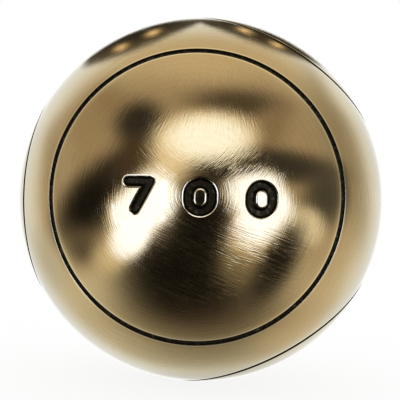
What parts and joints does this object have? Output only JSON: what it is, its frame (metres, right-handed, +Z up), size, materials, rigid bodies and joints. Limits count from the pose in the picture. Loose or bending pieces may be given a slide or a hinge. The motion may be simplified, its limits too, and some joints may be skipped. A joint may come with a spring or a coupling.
{
  "type": "petanque boule",
  "caption": "Hollow steel throwing ball, two forged half shells joined by a weld ring, with turned circle grooves and stamped figures.",
  "frame": {"origin": "centre of the ball", "axes": "-Y through the middle of the circle with the large figures, +Z up as they are read, +X to their right"},
  "size_m": [0.074, 0.074, 0.074],
  "materials": {
    "shell_steel": "turned and brushed, bronze coloured, with dark oxide left in the grooves and stampings",
    "weld_steel": "turned flush with the shells, bronze coloured"
  },
  "bodies": {
    "root": {"front_half_shell": "shell_steel", "rear_half_shell": "shell_steel", "weld_ring": "weld_steel"}
  },
  "joints": []
}
